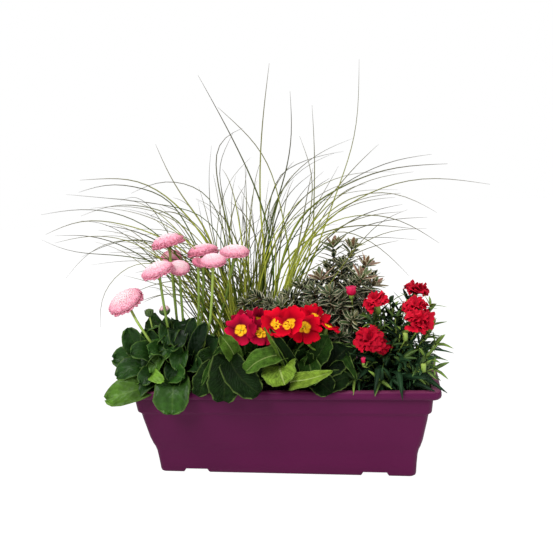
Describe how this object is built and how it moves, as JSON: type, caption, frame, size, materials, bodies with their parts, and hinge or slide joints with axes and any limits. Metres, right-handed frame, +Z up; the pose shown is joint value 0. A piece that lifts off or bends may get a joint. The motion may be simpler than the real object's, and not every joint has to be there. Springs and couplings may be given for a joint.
{
  "type": "planted window box",
  "caption": "Plum plastic window box planted with double daisies, arching grass, primroses, a heath shrub and pot carnations.",
  "frame": {"origin": "centre of the box's underside, on the middle foot pad", "axes": "+X along the box to the right, +Y to its back, +Z up; the planted front faces -Y"},
  "size_m": [0.7865, 0.376, 0.6582],
  "materials": {
    "plum_plastic": "gloss",
    "compost": "matte",
    "roots": "matte",
    "daisy_green": "satin",
    "daisy_pink": "matte",
    "grass_green": "satin",
    "primrose_green": "satin",
    "primrose_crimson": "matte",
    "primrose_red": "matte",
    "shrub_bark": "matte",
    "shrub_variegated": "satin",
    "carnation_green": "satin",
    "carnation_red": "matte"
  },
  "bodies": {
    "root": {"window_box": "plum_plastic", "compost": "compost", "daisy_root_ball": "roots", "grass_root_ball": "roots", "primrose_left_root_ball": "roots", "primrose_right_root_ball": "roots", "shrub_root_ball": "roots", "carnation_root_ball": "roots", "daisy_leaves_and_stalks": "daisy_green", "daisy_flower_1": "daisy_pink", "daisy_flower_2": "daisy_pink", "daisy_flower_3": "daisy_pink", "daisy_flower_4": "daisy_pink", "daisy_flower_5": "daisy_pink", "daisy_flower_6": "daisy_pink", "daisy_flower_7": "daisy_pink", "daisy_flower_8": "daisy_pink", "daisy_flower_9": "daisy_pink", "daisy_bud_1": "daisy_green", "daisy_bud_2": "daisy_green", "grass_shoot_1": "grass_green", "grass_shoot_2": "grass_green", "grass_shoot_3": "grass_green", "grass_shoot_4": "grass_green", "grass_shoot_5": "grass_green", "grass_shoot_6": "grass_green", "grass_shoot_7": "grass_green", "grass_shoot_8": "grass_green", "primrose_left_leaves": "primrose_green", "primrose_right_leaves": "primrose_green", "primrose_left_flower_1": "primrose_crimson", "primrose_left_flower_2": "primrose_crimson", "primrose_left_flower_3": "primrose_crimson", "primrose_left_flower_4": "primrose_crimson", "primrose_right_flower_1": "primrose_red", "primrose_right_flower_2": "primrose_red", "primrose_right_flower_3": "primrose_red", "primrose_right_flower_4": "primrose_red", "primrose_right_flower_5": "primrose_red", "primrose_right_flower_6": "primrose_red", "shrub_stems": "shrub_bark", "shrub_shoot_1": "shrub_variegated", "shrub_shoot_2": "shrub_variegated", "shrub_shoot_3": "shrub_variegated", "shrub_shoot_4": "shrub_variegated", "shrub_shoot_5": "shrub_variegated", "shrub_shoot_6": "shrub_variegated", "shrub_shoot_7": "shrub_variegated", "shrub_shoot_8": "shrub_variegated", "carnation_leaves_and_stems": "carnation_green", "carnation_flower_1": "carnation_red", "carnation_flower_2": "carnation_red", "carnation_flower_3": "carnation_red", "carnation_flower_4": "carnation_red", "carnation_flower_5": "carnation_red", "carnation_flower_6": "carnation_red", "carnation_bud_1": "carnation_red", "carnation_bud_2": "carnation_red"}
  },
  "joints": []
}
